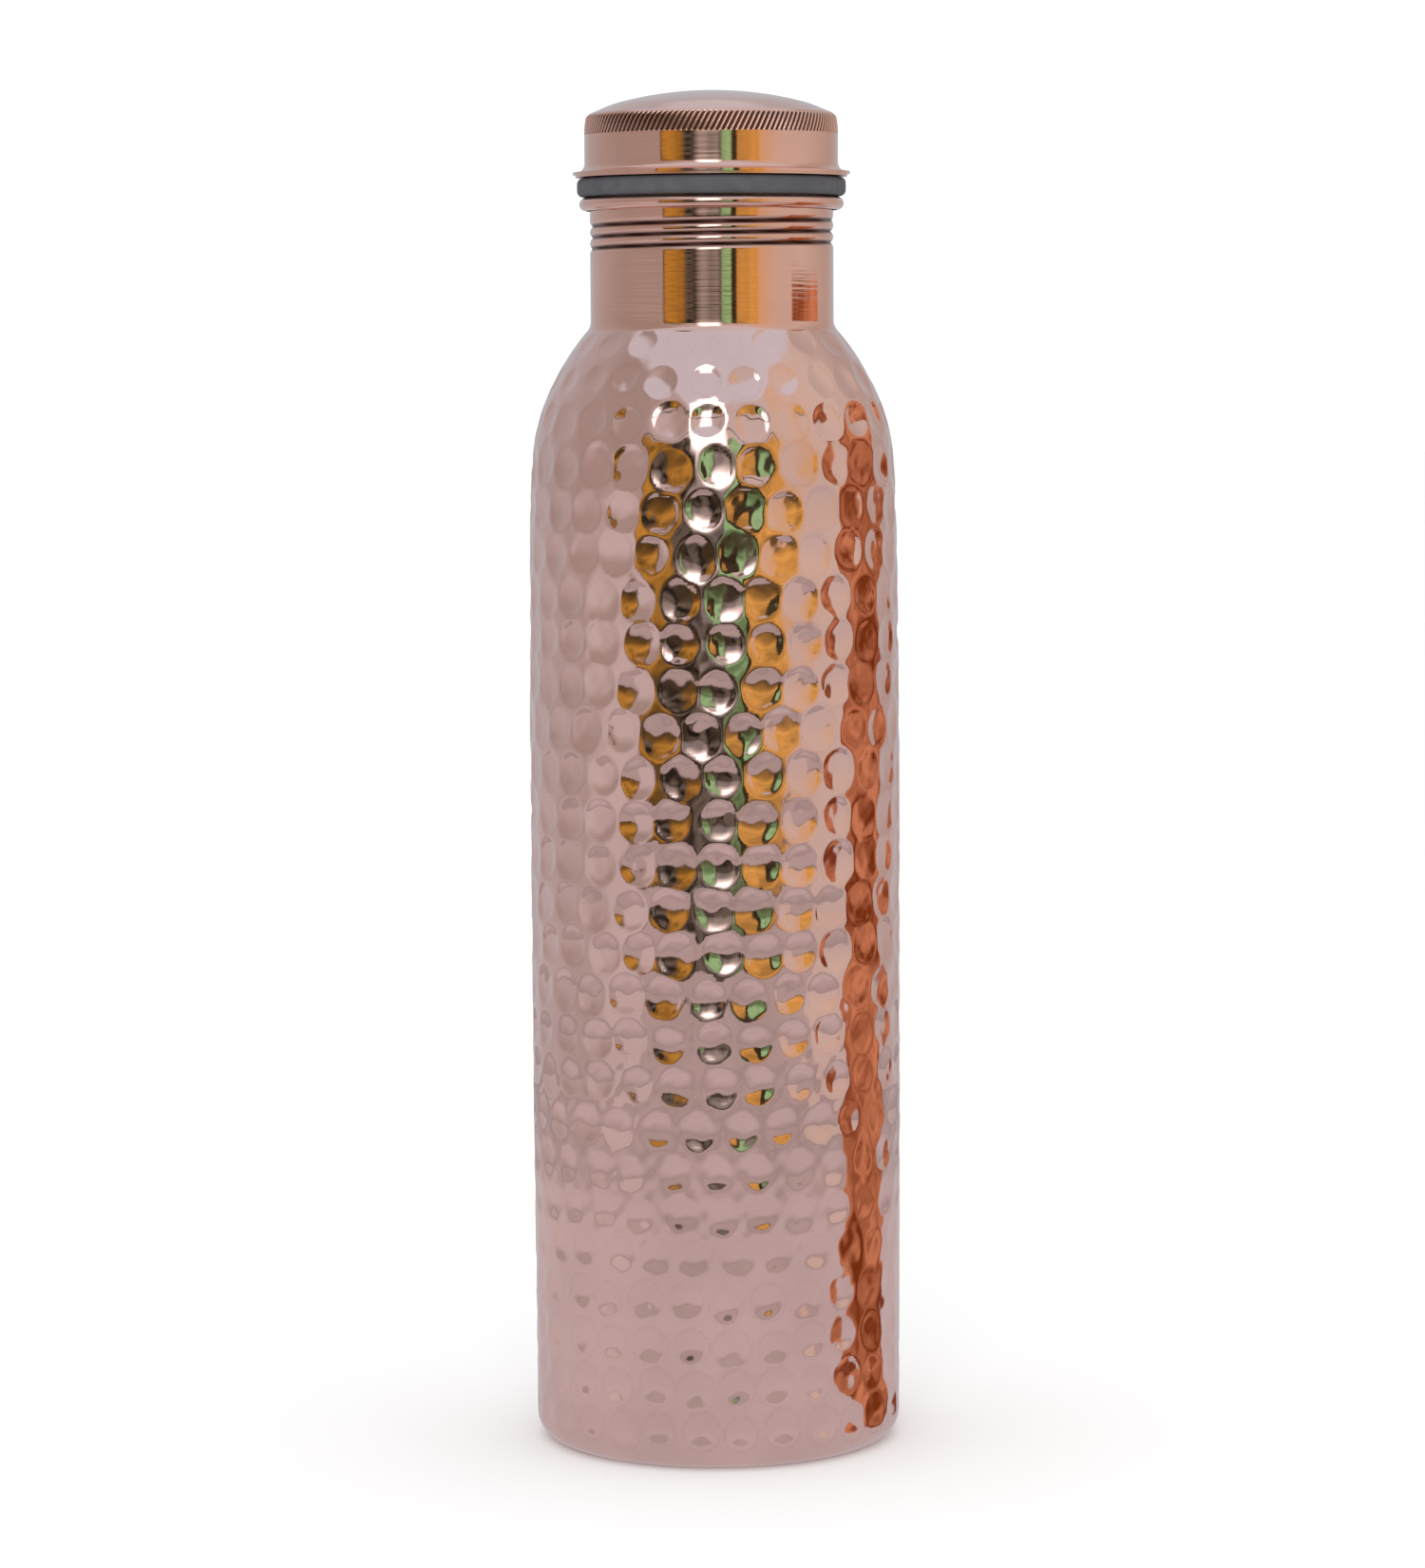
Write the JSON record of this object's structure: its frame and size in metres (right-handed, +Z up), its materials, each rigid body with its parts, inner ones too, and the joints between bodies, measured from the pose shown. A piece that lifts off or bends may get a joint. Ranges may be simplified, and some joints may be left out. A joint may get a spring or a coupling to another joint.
{
  "type": "copper water bottle",
  "caption": "Hammered copper water bottle with a smooth threaded neck, a silicone seal ring and a domed screw cap with a knurled edge.",
  "frame": {"origin": "centre of the plane that the bottle rests on", "axes": "+Z up along the bottle's axis, from the base to the cap; the object is round, so X and Y are free"},
  "size_m": [0.0746, 0.0746, 0.2714],
  "materials": {
    "hammered_copper": "polished copper, hammered, clear lacquer",
    "base_copper": "satin copper",
    "cap_copper": "polished copper, fine lathe lines, clear lacquer",
    "plug_copper": "satin copper",
    "grey_silicone": "matte silicone"
  },
  "bodies": {
    "bottle": {"body_shell": "hammered_copper", "base_disc": "base_copper"},
    "seal": {"seal_ring": "grey_silicone"},
    "cap": {"cap_shell": "cap_copper", "cap_plug": "plug_copper"}
  },
  "joints": [
    {"name": "cap_lift", "type": "slide", "parent": "bottle", "child": "seal", "axis": [0, 0, 1], "range_m": [0, 0.0176]},
    {"name": "cap_turn", "type": "hinge", "parent": "seal", "child": "cap", "pos_m": [0, 0, 0.2547], "axis": [0, 0, 1], "range_deg": [0, 2880]}
  ],
  "couplings": [
    {"joint": "cap_lift", "follows": "cap_turn", "m_per_rad": 0.00035014}
  ]
}
